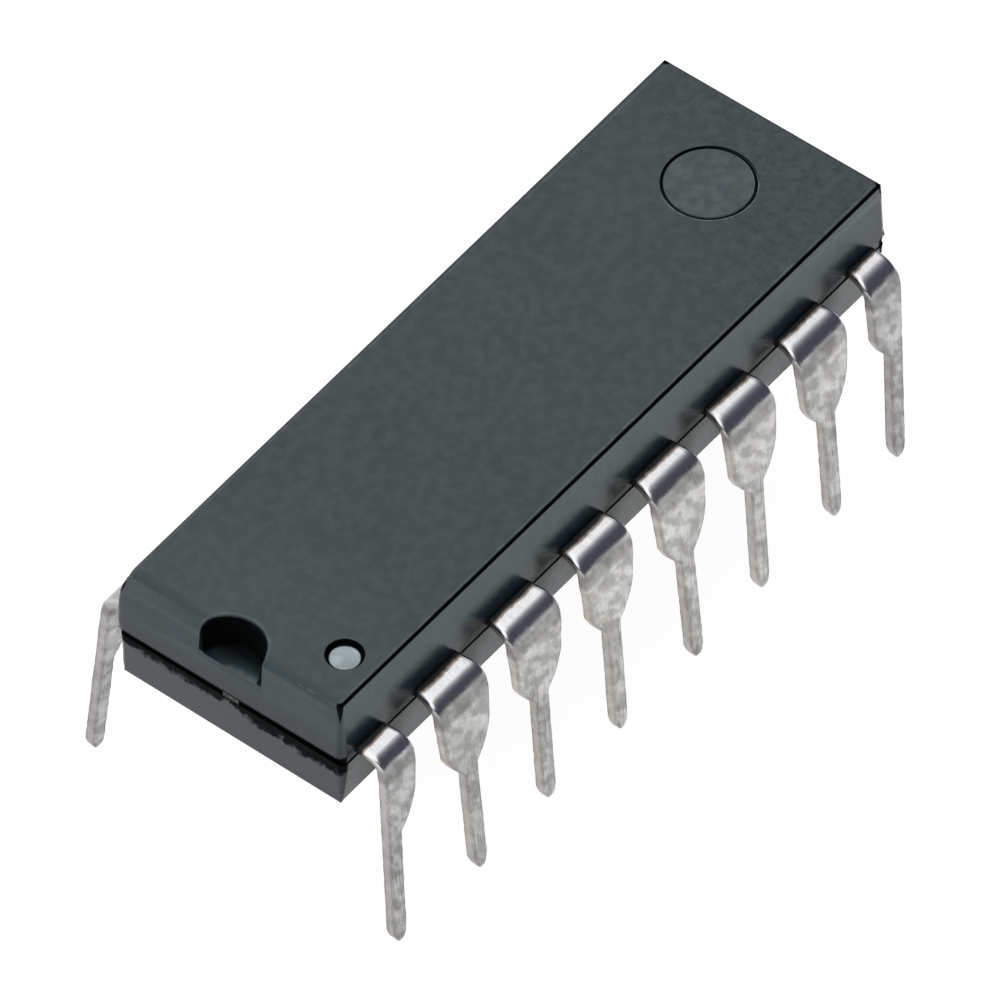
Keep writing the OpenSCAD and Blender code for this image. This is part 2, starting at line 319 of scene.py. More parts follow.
def makeSpeckGroup():
    # The cores of some cells of a cellular pattern, picked by the random colour of each cell
    inputs = [("Place", "Vector", None), ("Spacing", "Float", 0.5), ("Radius", "Float", 0.1),
              ("Share", "Float", 0.3)]
    group, (place, spacing, radius, share), end = newGroup("specks", inputs, ["Mask"])
    cells = addNode(group, "ShaderNodeTexVoronoi", {"Vector": place, "Scale": 1.0 / spacing}, feature="F1")
    shade = addNode(group, "ShaderNodeSeparateColor", {0: out(cells, "Color")})
    picked = maths("LESS_THAN", out(shade, 0), share)
    size = radius * (out(shade, 1) + 0.4)
    core = maths("SUBTRACT", 1.0, out(cells, "Distance") / size, clamp=True)
    feed(core * picked, end["Mask"])
    return group


def makeStreakGroup():
    # Noise drawn out along one axis, kept where it is high: rub marks, scratches and drawn-out stains
    inputs = [("Place", "Vector", None), ("Width", "Float", 0.05), ("Stretch", "Float", 0.1),
              ("Low", "Float", 0.5), ("High", "Float", 0.65)]
    group, (place, width, stretch, low, high), end = newGroup("streaks", inputs, ["Mask"])
    squeeze = out(addNode(group, "ShaderNodeCombineXYZ", {"X": 1.0, "Y": stretch, "Z": 1.0}))
    drawn = out(addNode(group, "ShaderNodeVectorMath", {0: place, 1: squeeze}, operation="MULTIPLY"))
    feed(eased(noise(drawn, width, 3.0, 0.6), low, high), end["Mask"])
    return group


grainGroup = makeGrainGroup()
speckGroup = makeSpeckGroup()
streakGroup = makeStreakGroup()


def useGroup(group, *values):
    # The group's outputs, for its inputs in their order, the place first
    node = addNode(values[0].tree, "ShaderNodeGroup", node_tree=group)
    for value, socket in zip(values, node.inputs):
        feed(value, socket)
    return [out(node, k) for k in range(len(node.outputs))]


def grain(place, size, coarseShare):
    return useGroup(grainGroup, place, size, coarseShare)


def specks(place, spacing, radius, share):
    return useGroup(speckGroup, place, spacing, radius, share)[0]


def streaks(place, width, stretch, low, high):
    return useGroup(streakGroup, place, width, stretch, low, high)[0]


def placeInMm(tree, turn=0.0):
    # Object coordinates, in millimetres, turned round the vertical if a pattern asks for it
    place = out(addNode(tree, "ShaderNodeTexCoord"), "Object")
    values = {"Vector": place, "Scale": (1 / mm,) * 3, "Rotation": (0.0, 0.0, turn)}
    return out(addNode(tree, "ShaderNodeMapping", values))


def apart(vector):
    split = addNode(vector.tree, "ShaderNodeSeparateXYZ", {0: vector})
    return [out(split, k) for k in range(3)]


def hypotenuse(a, b):
    return maths("SQRT", a * a + b * b)


def bumped(height, depth, sockets):
    values = {"Strength": 1.0, "Distance": depth * mm, "Height": height}
    feed(out(addNode(height.tree, "ShaderNodeBump", values)), sockets["Normal"])


# Package: dark moulding compound

packageLook = {
    "deep": (0.0120, 0.0225, 0.0265),
    "pale": (0.0165, 0.0275, 0.0320),
    # pale specks, dust and rub marks, also the colour of the painted highlights on rims and edges
    "speckAndHighlight": (0.110, 0.120, 0.115),
    # dark soot, also the colour of the painted shade
    "sootAndShade": (0.0028, 0.0032, 0.0036),
    "crumb": (0.290, 0.270, 0.165),
    # painted shade and painted reflection across the dimple's floor
    "dimpleFloorShade": (0.045, 0.055, 0.065),
    "dimpleFloorSheen": (0.165, 0.195, 0.235),
    "specularTint": (0.86, 0.99, 1.0, 1.0),
    "nearSideLight": (0.85, 1.90, 1.85),         # what the colour is multiplied by on each side: painted light for how each side is lit
    "farSideLight": (1.10, 1.05, 1.05),
    "endLight": (1.0, 1.30, 1.40),
    "partingShade": (0.30, 0.30, 0.38),      # and as painted shade beside the parting line, and inside the ejector mark
    "markTone": (0.82, 0.85, 0.98),
    "dust": 0.12,                           # how strongly each kind of wear, dirt, painted highlight and painted shade shows
    "roundedEdgeHighlight": 0.36,
    "patches": 0.85,
    "filler": 0.5,
    "rubs": 0.25,
    "shadeAndDirt": 0.96,
    "crumbs": 1.6,
    "tornRelief": 6.0,                      # in grain depths
    "grainSize": 0.07,
    "grainDepth": 0.0010,
    "cloudSize": 1.6,
    "fillerGrains": (0.55, 0.10, 0.10),     # spacing, radius and the share of places that hold one
    "crumbGrains": (0.14, 0.34, 0.25),
    "rubLines": (0.05, 0.02, 0.66, 0.78),   # width, stretch, and the noise at which they fade in
    "topRoughness": (0.38, 0.44),
    "sideRoughness": (0.16, 0.23),
    "top": (-9.525, 9.580, 2.995, 7.505),   # both ends, the half width and the height of the top face
    "frameHeight": 5.74,
    "draft": 4.0,
    "endReach": 9.40,
    "notch": (-9.655, 0.0, 0.87),           # plan place and radius of each round feature
    "notchFloor": 6.665,
    "dimple": (-8.295, -2.135, 0.43),
    "mark": (7.282, 0.02, 1.09),
    "lightWay": (0.79, 0.62),                # direction in plan along which the painted light on the round features changes
    "edgeHighlight": (-0.105, -0.068, 0.012),     # bands of painted highlight out from each rim: start, end and softness
    "endHighlight": (0.005, 0.030, 0.010),
    "notchHighlight": (0.015, 0.070, 0.02),
    "markHighlight": (0.010, 0.045, 0.012),
    "dimpleShade": (-0.085, 0.010, 0.014),   # and bands of painted shade
    "markShade": (-0.075, -0.005, 0.008),
}


def packageMeasures(look, place):
    # Distances in millimetres that the masks are made from
    x, y, z = apart(place)
    lowEnd, highEnd, halfWidth, topHeight = look["top"]
    wayX, wayY = look["lightWay"]
    slant = math.tan(math.radians(look["draft"]))
    at = SimpleNamespace(x=x, y=y, z=z, place=place, depth=topHeight - z, below=look["frameHeight"] - z)
    at.waver = noise(place, 0.5, 3.0, 0.6)
    at.side = at.waver * 0.03 + abs(y) - halfWidth      # out past the top face's long edge
    at.endGap = maths("MINIMUM", x - lowEnd, highEnd - x)
    at.cornerGap = hypotenuse(at.depth * slant - at.side, at.depth * slant + at.endGap)
    for name in ("notch", "dimple", "mark"):
        spotX, spotY, radius = look[name]
        setattr(at, name, hypotenuse(x - spotX, y - spotY) - radius)        # out past each round rim
    at.alongDimple = (x - look["dimple"][0]) * wayX + (y - look["dimple"][1]) * wayY
    at.alongMark = (x - look["mark"][0]) * wayX + y * wayY
    at.onTop = eased(at.depth, 0.05, 0.01)
    at.onEnds = eased(abs(x), look["endReach"] - 0.05, look["endReach"])
    at.nearSide = eased(y, 0.5, -0.5)
    return at


def compoundColour(look, at, height):
    # Slow clouds and fine grain, each side painted lighter or darker for how it is lit, and painted shade
    # beside the parting line
    clouds = eased(noise(at.place, look["cloudSize"], 4.0, 0.6), 0.34, 0.66)
    base = mixed(clouds, look["deep"], look["pale"])
    base = mixed(1.0, base, eased(height, 0.36, 0.64, 0.84, 1.16), "MULTIPLY")
    tone = mixed(at.nearSide, look["farSideLight"], look["nearSideLight"])
    base = tinted(1.0 - at.onTop, base, mixed(at.onEnds, tone, look["endLight"]))
    # The notched end has been rubbed more, and its rounded far edge has a painted highlight
    dusty = eased(at.x, -5.0, -8.8) * at.onTop
    base = mixed(dusty * look["dust"], base, look["speckAndHighlight"])
    rounded = band(at.depth, 0.03, 0.42, 0.10) * at.onEnds * eased(at.y, -1.0, 2.6) * eased(at.x, -9.0, -9.2)
    base = mixed(rounded * look["roundedEdgeHighlight"], base, look["speckAndHighlight"])
    # Painted shade beside the parting line, and on the ends under the upper half's overhang
    shadeUnderEnds = at.onEnds * eased(at.below, 0.1, 0.3, 0.0, 0.8)
    base = tinted(strongest(eased(abs(at.below), 0.95, 0.30), shadeUnderEnds), base, look["partingShade"])
    # Coarser grain toward the far near-side corner, and a few pale filler specks
    patchy = eased(noise(at.place, 0.16, 3.0, 0.7), 0.48, 0.62) * eased(at.x - at.y * 0.9, 4.0, 9.5)
    base = mixed(patchy * at.onTop * look["patches"], base, look["sootAndShade"])
    return mixed(specks(at.place, *look["fillerGrains"]) * look["filler"], base, look["speckAndHighlight"])


def rimHighlights(look, at):
    # Painted highlights on the rims: beside the long edges, along the ends, behind the notch and outside the
    # ejector mark
    rims = strongest(
        band(at.side, *look["edgeHighlight"]),
        band(at.endGap, *look["endHighlight"]),
        band(at.notch, *look["notchHighlight"]),
        band(at.mark, *look["markHighlight"]) * eased(at.alongMark, -0.2, -0.8, 0.0, 2.2),
    )
    strength = eased(noise(at.place, 0.35, 3.0, 0.7), 0.36, 0.60, 0.10, 0.52)
    return rims * strength * eased(at.depth, 0.12, 0.08)


def paintedShade(look, at):
    # Painted shade and dark reflections on the rounded near edge, down the upright corners, in the notch,
    # round the dimple's floor and in the groove of the mark
    longEdge = eased(at.side, -0.052, -0.032) * eased(at.depth, 0.075, 0.048) * at.nearSide
    upright = eased(at.depth * 0.20 + at.cornerGap, 0.15, 0.09)
    overFloor = at.z - look["notchFloor"]
    inNotch = eased(at.notch, 0.01, -0.02) * eased(at.depth, 0.02, 0.06) * eased(overFloor, -0.2, -0.1)
    litNotchFloor = eased(overFloor, 0.06, 0.01) * eased(at.endGap, 0.50, -0.05, 0.12, 0.80)
    shallow = eased(at.depth, 0.2, 0.15)
    dimpleRim = band(at.dimple, *look["dimpleShade"]) * shallow
    groove = band(at.mark, *look["markShade"]) * shallow
    groove = groove * eased(at.waver * 0.8 + at.alongMark, -0.7, 0.5, 0.35, 0.95)
    return strongest(longEdge, upright, inNotch - inNotch * litNotchFloor, groove, dimpleRim)


def tornAndShadedParting(look, at):
    # Where the strip of packages was broken apart, the ends are torn along the parting line, but not beside
    # the tie bar: the torn part, black as torn compound and as painted shade, its ragged edge's pattern and a
    # fringe of crumbs
    onEnd = eased(abs(at.x), look["endReach"], look["endReach"] + 0.06)
    ragged = noise(at.place, 0.30, 3.0, 0.6)
    reach = ragged * eased(at.y, 3.0, -2.4, 0.52, 0.74) + 0.06 + eased(abs(at.y), 0.18, 0.34, -0.16, 0.0)
    tornAndShade = eased(reach - at.below, -0.12, 0.08) * eased(at.below, -0.20, -0.12) * onEnd
    fringe = onEnd * band(reach - at.below, -0.08, 0.08, 0.04)
    return tornAndShade, ragged, fringe * specks(at.place, *look["crumbGrains"])


def packageMaterial(look):
    constants = {"IOR": 1.5, "Specular Tint": look["specularTint"]}
    material, tree, sockets = newFinish("mouldingCompound", constants)
    at = packageMeasures(look, placeInMm(tree))
    height, mottle = grain(at.place, look["grainSize"], 0.3)
    base = compoundColour(look, at, height)
    # Handling rubs the top in long faint lines
    lines = streaks(placeInMm(tree, 0.9), *look["rubLines"])
    base = mixed(lines * look["rubs"], base, look["speckAndHighlight"])
    base = mixed(rimHighlights(look, at), base, look["speckAndHighlight"])
    tornAndShade, ragged, crumbs = tornAndShadedParting(look, at)
    # Painted shade in recesses and along edges and corners, and the torn compound, take the colour toward
    # soot
    shadeAndDirt = strongest(paintedShade(look, at), tornAndShade)
    base = mixed(shadeAndDirt * look["shadeAndDirt"], base, look["sootAndShade"])
    base = mixed(crumbs * look["crumbs"], base, look["crumb"])
    # The dimple's floor has a painted reflection, palest on the side away from the notched near corner
    inPit = eased(at.depth, 0.3, 0.2)
    floor = mixed(eased(at.alongDimple, -0.45, 0.25), look["dimpleFloorShade"], look["dimpleFloorSheen"])
    base = mixed(eased(at.dimple, -0.07, -0.14) * inPit, base, floor)
    base = tinted(eased(at.mark, -0.05, -0.08) * at.onTop, base, look["markTone"])
    feed(base, sockets["Base Color"])
    # Gloss: fine grained top, smoother sides, polished dimple and mark, no gloss in the painted shade and
    # dirt
    sideRough = eased(mottle, 0.35, 0.65, *look["sideRoughness"])
    topRough = eased(mottle, 0.35, 0.65, *look["topRoughness"])
    inDimple = eased(at.dimple, 0.0, -0.05) * inPit
    inMark = eased(at.mark, -0.06, -0.09) * eased(at.depth, 0.1, 0.06)
    rough = sideRough + at.onTop * (topRough - sideRough) - inDimple * 0.06 - inMark * 0.03
    feed(rough + shadeAndDirt * 0.6, sockets["Roughness"])
    # Metallic and black takes the gloss out of the painted shade and dirt
    feed(shadeAndDirt * 0.95, sockets["Metallic"])
    bumped(tornAndShade * ragged * look["tornRelief"] + height, look["grainDepth"], sockets)
    return material


def mergedCopy(node, name, sharpAngle):
    # The frame's meshes are loose triangles: their corners are merged where they meet within 0.1 micron,
    # and the new mesh is shaded smoothly over its rounded edges
    source = node.data
    places = np.empty(len(source.vertices) * 3, np.float32)
    source.vertices.foreach_get("co", places)
    corners = np.empty(len(source.loops), np.int32)
    source.loops.foreach_get("vertex_index", corners)
    grid = np.round(places.reshape(-1, 3).astype(float) / (0.0001 * mm)).astype(np.int64)
    _, first, merged = np.unique(grid, axis=0, return_index=True, return_inverse=True)
    triangles = merged.ravel()[corners].reshape(-1, 3)
    whole = (np.diff(np.sort(triangles, axis=1), axis=1) > 0).all(1)
    mesh = bpy.data.meshes.new(name)
    mesh.from_pydata(places.reshape(-1, 3)[first].tolist(), [], triangles[whole].tolist())
    mesh.shade_smooth()
    mesh.set_sharp_from_angle(angle=math.radians(sharpAngle))
    copy = addObject(name, mesh)
    weighted = copy.modifiers.new("flatFacesLead", "WEIGHTED_NORMAL")
    weighted.keep_sharp = True
    weighted.weight = 100
    return copy


mouldingForm = {
    "halfLength": 9.61,             # at the frame's middle plane
    "halfWidth": 3.11,
    "shift": 0.03,                  # of the upper half toward the notch and of the lower one away from it
    "cornerRadius": 0.1,            # of the upright corners
    "crispness": 0.7,               # 1 would make them square
    "edgeRadius": 0.08,
    "softRadius": (0.10, 0.44),     # of the top edge at the notched end, near side and far side
    "softSteps": 10,
    "lowerLean": (0.08, 0.05),      # how far the notched end of the lower half swells, near and far side
    "farStretch": 0.115,            # how much longer the upper half is at the far end
    "farTurn": 0.035,               # how much its far side is turned outward there
    "farBulge": 0.065,              # how far the far upright corner at the notched end swells
    "endAt": 9.5,                   # where stretch and turn reach their full size
    "lowerHeight": 1.24,
    "floorRise": 0.16,              # of the notch's floor over the frame's one
    "bandAt": 3.04,                 # the set-back face between the leads, and how far forward it is filled
    "bandFilledTo": 3.085,
    "near": 0.006,                  # a face within this of its place is taken for it
}


def cutAcross(mesh, places, normal):
    # New rows of corners where planes through the places, square to the normal, cross the mesh
    work = bmesh.new()
    work.from_mesh(mesh)
    for place in places:
        everything = work.verts[:] + work.edges[:] + work.faces[:]
        bmesh.ops.bisect_plane(work, geom=everything, dist=1e-9, plane_co=Vector(place) * mm, plane_no=normal)
    work.to_mesh(mesh)
    work.free()


def crispCorners(x, y, rise, form, slant):
    # Crisper upright corners: a point's place (u, v) in the corner's square of side r is scaled by
    # 1 + crispness * (length(u, v) / max(u, v) - 1)
    radius = form["cornerRadius"]
    middle = np.where(rise > 0, -form["shift"], form["shift"])
    u = abs(x - middle) - (form["halfLength"] - abs(rise) * slant) + radius
    v = abs(y) - (form["halfWidth"] - abs(rise) * slant) + radius
    inCorner = (u > 0) & (v > 0)
    reach = np.hypot(u, v) / np.maximum(np.maximum(u, v), 1e-9)
    stretch = np.where(inCorner, reach - 1, 0) * form["crispness"]
    return x + np.sign(x - middle) * u * stretch, y + np.sign(y) * v * stretch


def softenedEdge(x, y, z, form, look, slant):
    # Softer top edge at the notched end: with C the centre of the new rounding R, a point's distance from
    # C is scaled by R over the distance of the old surface along the same ray
    lowEnd, _, halfWidth, topHeight = look["top"]
    softNear, softFar = form["softRadius"]
    soft = softNear + (softFar - softNear) * np.clip((y + halfWidth) / (2 * halfWidth), 0, 1)
    depth = topHeight - z
    gap = x - lowEnd + depth * slant
    inward, downward = soft - gap, soft - depth
    inStrip = (inward > 0) & (downward > 0) & (x < 0)
    length = np.maximum(np.hypot(inward, downward), 1e-9)
    larger, smaller = np.maximum(inward, downward) / length, np.minimum(inward, downward) / length
    flat = soft - form["edgeRadius"]
    half = flat * (larger + smaller)
    onArc = half + np.sqrt(np.maximum(half ** 2 - 2 * flat ** 2 + form["edgeRadius"] ** 2, 0))
    straight = soft / np.maximum(larger, 1e-9)
    oldSurface = np.where(smaller * straight <= flat, straight, onArc)
    scale = np.where(inStrip, soft / np.maximum(oldSurface, 1e-9), 1.0)
    return x + inward * (1 - scale), z + downward * (scale - 1)


def wearMoulding(mesh, form, look):
    # The frame's moulding with the small unevenness of the real one
    lowEnd, _, _, topHeight = look["top"]
    reaches = form["softRadius"][1] * np.arange(1, form["softSteps"] + 1) / form["softSteps"]
    cutAcross(mesh, [(lowEnd + reach, 0, 0) for reach in reaches], (1, 0, 0))
    cutAcross(mesh, [(0, 0, topHeight - reach) for reach in reaches], (0, 0, 1))
    places = np.empty(len(mesh.vertices) * 3, np.float32)
    mesh.vertices.foreach_get("co", places)
    x, y, z = (places.reshape(-1, 3).astype(float) / mm).T
    rise = z - look["frameHeight"]
    slant = math.tan(math.radians(look["draft"]))
    x, y = crispCorners(x, y, rise, form, slant)
    # Set-back face between the leads
    onBand = (abs(abs(y) - form["bandAt"]) < form["near"]) & (abs(rise) < 0.14)
    y = np.where(onBand, np.sign(y) * form["bandFilledTo"], y)
    x, z = softenedEdge(x, y, z, form, look, slant)
    # Far upright corner of the notched end, and the notch's floor
    bulge = np.interp(y, [1.8, 3.0], [0, 1]) * np.interp(-x, [8.4, 9.4], [0, 1])
    bulge *= form["farBulge"] * np.interp(rise, [0.0, 0.35, 1.1, 1.7], [0, 1, 1, 0.2]) * (rise > 0)
    x, y = x - bulge, y + bulge * 1.15
    fromNotch = np.hypot(x - look["notch"][0], y) - look["notch"][2]
    onFloor = (abs(z - look["notchFloor"] + form["floorRise"]) < form["near"]) & (fromNotch < 0.02)
    z = np.where(onFloor, look["notchFloor"], z)
    # Far end of the upper half, and the notched end of the lower half
    upper = np.clip(rise / 0.15, 0, 1)
    y = y + form["farTurn"] * (x / form["endAt"]) * np.clip(y / 3, 0, 1) * upper
    x = x + form["farStretch"] * np.clip(x / form["endAt"], 0, None) * upper
    swell = np.interp(y, [-3, 3], form["lowerLean"]) * -rise / form["lowerHeight"]
    x = x - np.where((x < -9.0) & (rise < 0), swell, 0)
    mesh.vertices.foreach_set("co", (np.stack([x, y, z], -1) * mm).astype(np.float32).ravel())
    mesh.update()


package = mergedCopy(nodes["moulded_body"], "mouldedPackage", 30.0)
wearMoulding(package.data, mouldingForm, packageLook)
package.data.set_sharp_from_angle(angle=math.radians(30))
package.data.materials.append(packageMaterial(packageLook))
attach(package, "root")
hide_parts("moulded_body")
print("package made:", len(package.data.polygons), "faces")


# Leads: sheared from sheet, bent in two stages, dipped in solder

leadForm = {
    "count": 8,
    "pitch": 2.54,
    "thickness": 0.25,
    "shoulderWidth": 1.48,
    "bladeWidth": 0.42,
    "rootAt": 2.49,                 # inner end of the plate held in the moulding, from the body's middle
    "faceAt": 3.04,                 # where the lead leaves the moulding
    "slopeAt": 3.13,                # where the shoulder starts to slope
    "slope": 10.0,
    "bendAt": 3.488,
    "tightRadius": 0.315,           # of the sheet's middle
    "tightTurn": 78.0,
    "widening": 1.24,               # of the tight radius, for a millimetre that the bend starts early
    "wideRadius": 3.375,
    "lean": 4.65,
    "spread": 0.012,                # how far the roots spread toward the far end, for a millimetre of reach
    "flare": 0.08,                  # how much wider each side is at the bend
    "narrowingLeft": (1.64, 0.83, 0.05),    # place below the frame, height and bulge
    "narrowingRight": (1.45, 0.92, 0.08),
    "drop": 5.74,
    "tipHeight": 0.45,
    "tipWidth": 0.11,
    "tipBulge": 0.02,
    "tipShift": 0.05,               # the point lies to the right
    "tipRound": 0.22,               # how far above the point the sheet starts to thin
    "cornerRadius": (0.085, 0.035),         # of the sheared corners: at the shoulder and below the bend
    "lumpHeight": 0.006,            # of the solder
    "lumpLimit": 0.012,
    "lumps": (16, 0.16, 0.7),       # number of waves, the shortest and the longest
    "fineLumps": (18, 0.05, 0.14),
    "skinPoints": (15, 3),          # of the section, across the sheet and through it
    "lockHole": 0.14,
    "fingerWidth": 0.3,
    "fanReach": (3.4, 2.0),         # half axes of the ellipse that the finger tips stand on
    "seed": 41,
    # How far each lead is darkened and blued: tarnish, and on some leads painted shade for light from behind
    "tarnishAndShade": [0.45, 0.25, 0.1, 0.0, 0.05, 0.1, 0.2, 0.5,
                0.3, 0.1, 0.4, 0.0, 0.2, 0.1, 0.3, 0.66],
    # Handling and cutting leave no two leads alike, the near row first: degrees of lean, how far the blade
    # stands out, how far the tip lies to the right and how far it ends short, how early the bend starts
    "knocks": {
        "lean": [-1.3, 0.9, -0.4, 0.1, 1.6, 0.2, 1.3, 0.1,
                 0.4, -0.7, 0.8, 0.1, -0.5, 1.6, -0.3, 1.9],
        "out": [0, 0, 0, 0, 0, 0, 0, 0,
                0.02, 0, -0.02, 0.01, 0, 0.02, 0, 0.12],
        "side": [-0.13, -0.05, -0.035, -0.06, -0.02, -0.03, -0.04, -0.15,
                 0.05, -0.04, 0.03, 0.06, -0.05, 0.02, 0.04, -0.03],
        "short": [0, 0.15, 0.03, 0.04, 0.18, 0.10, 0.26, 0,
                  0.05, 0.12, 0, 0.1, 0.04, 0.16, 0.08, 0.12],
        "early": [0.03, 0.03, 0.04, 0.08, 0.09, 0.11, 0.11, 0.12,
                  0.06, 0.04, 0.08, 0.03, 0.05, 0.09, 0.04, 0.05],
    },
}


def gridFaces(rows, columns, closedRows=False):
    # Quads of a grid whose columns close on themselves, and whose rows may
    across = np.arange(columns)
    down = np.arange(rows if closedRows else rows - 1)
    first = down[:, None] * columns + across[None, :]
    nextColumn = down[:, None] * columns + ((across + 1) % columns)[None, :]
    nextRow = ((down + 1) % rows)[:, None] * columns
    quads = np.stack([first, nextColumn, nextRow + (across + 1) % columns, nextRow + across], -1)
    return quads.reshape(-1, 4)


def endFaces(rows, columns):
    # The two faces that close a grid's first and last row
    return [list(range(columns))[::-1], list(range((rows - 1) * columns, rows * columns))]


def waves(rng, count, shortest, longest):
    # Sum of sine waves with random direction, length and phase: a smooth uneven skin between -1 and 1
    lengths = shortest * (longest / shortest) ** rng.random(count)
    turns = rng.random(count) * np.pi
    phases = rng.random(count) * 2 * np.pi
    kx, ky = np.cos(turns) / lengths, np.sin(turns) / lengths

    def height(p, q):
        angles = 2 * np.pi * (p[..., None] * kx + q[..., None] * ky) + phases
        return np.sin(angles).sum(-1) / np.sqrt(count)

    return height


def sheetPath(form, lean, drop, early):
    # Middle line of the sheet: level, a slope, an arc of the tight radius, an arc of the wide radius that
    # ends at the lean, and a straight run to the tip. Each point has its reach from the body's middle,
    # its height over the frame, the angle turned down from level and the distance from the face.
    # A bend that starts early is wider, so that the blade hangs in its place.
    tight = form["tightRadius"] + form["widening"] * early
    wide, bendAt = form["wideRadius"], form["bendAt"] - early
    slope, first, last = (math.radians(angle) for angle in (form["slope"], form["tightTurn"], 90 - lean))
    level = np.linspace(form["faceAt"] - 0.06, form["slopeAt"], 4)[:-1]
    sloped = np.linspace(form["slopeAt"], bendAt, 9)[:-1]
    turnA = np.linspace(slope, first, 24)
    turnB = np.linspace(first, last, 16)[1:]
    fall = (bendAt - form["slopeAt"]) * math.tan(slope)
    centreOut, centreUp = bendAt - tight * math.sin(slope), -fall - tight * math.cos(slope)
    outA, upA = centreOut + tight * np.sin(turnA), centreUp + tight * np.cos(turnA)
    centreOut += (tight - wide) * math.sin(first)
    centreUp += (tight - wide) * math.cos(first)
    outB, upB = centreOut + wide * np.sin(turnB), centreUp + wide * np.cos(turnB)
    run = (drop + upB[-1]) / math.cos(math.radians(lean))
    steps = np.concatenate([np.linspace(0, run - 0.5, 58)[1:], np.linspace(run - 0.5, run, 22)[1:]])
    reach = np.concatenate([level, sloped, outA, outB, outB[-1] + steps * math.cos(last)])
    up = np.concatenate([level * 0, (form["slopeAt"] - sloped) * math.tan(slope), upA, upB,
                         upB[-1] - steps * math.sin(last)])
    turn = np.concatenate([level * 0, [slope / 2], np.full(len(sloped) - 1, slope), turnA, turnB,
                           np.full(len(steps), last)])
    along = np.concatenate([[0], np.cumsum(np.hypot(np.diff(reach), np.diff(up)))]) - 0.06
    return reach, up, turn, along


def bulgingEdge(start, end, bulge):
    # Points of an edge that bulges to the left of its way: a parabola over the straight line
    start, end = np.array(start), np.array(end)
    left = np.array([start[1] - end[1], end[0] - start[0]]) / np.linalg.norm(end - start)
    t = np.linspace(0, 1, 9)[:, None]
    return start + t * (end - start) + 4 * bulge * t * (1 - t) * left


def sheetOutline(form, slot, up, along, drop):
    # Half widths left and right of the lead's middle at each height: shoulder spread at the bend, bulging
    # narrowing, blade and tapered tip, averaged over a small window so that the sheared corners are round
    shoulder, blade, tip = form["shoulderWidth"] / 2, form["bladeWidth"] / 2, form["tipWidth"] / 2
    window = np.linspace(-0.035, 0.035, 5)
    spread = form["flare"] * np.interp(along, [0.08, 0.6, 1.0, 2.0], [0, 1, 1, 0])

    def halfWidth(narrowing, wide, shift):
        below, height, bulge = narrowing
        end = tip + shift
        point = bulgingEdge((blade, form["tipHeight"] - drop), (end, -drop), form["tipBulge"])
        top = bulgingEdge((shoulder, -below), (blade, -below - height), bulge) if wide else [(blade, 0.0)]
        edge = np.vstack([top, point, (end, -drop - 0.1)])
        return np.interp(up[:, None] + window, edge[::-1, 1], edge[::-1, 0]).mean(1) + wide * spread

    left = halfWidth(form["narrowingLeft"], slot > 0, -form["tipShift"])
    right = halfWidth(form["narrowingRight"], slot < form["count"] - 1, form["tipShift"])
    return left, right


def roundedSection(across, deep):
    # Points round a rectangle with rounded corners, as the corner each point leans on (-1 to 1 on both
    # axes) and its direction from that corner's centre. Cut is 1 on the two sheared sides.
    flat, down, one = np.linspace(-1, 1, across), np.linspace(1, -1, deep + 2), np.ones(3)
    quarter = np.radians([67.5, 45, 22.5])
    runs = [
        (flat, np.ones(across), 0 * flat, np.ones(across), 0.0),
        (one, one, np.cos(quarter), np.sin(quarter), 0.5),
        (np.ones(deep + 2), down, np.ones(deep + 2), 0 * down, 1.0),
        (one, -one, np.cos(quarter[::-1]), -np.sin(quarter[::-1]), 0.5),
    ]
    half = [np.concatenate([run[k] for run in runs]) for k in range(4)]
    cut = np.concatenate([np.full(len(run[0]), run[4]) for run in runs])
    # The other half is the same run turned half round
    section = [np.concatenate([a, -a]) for a in half]
    return section, np.concatenate([cut, cut])


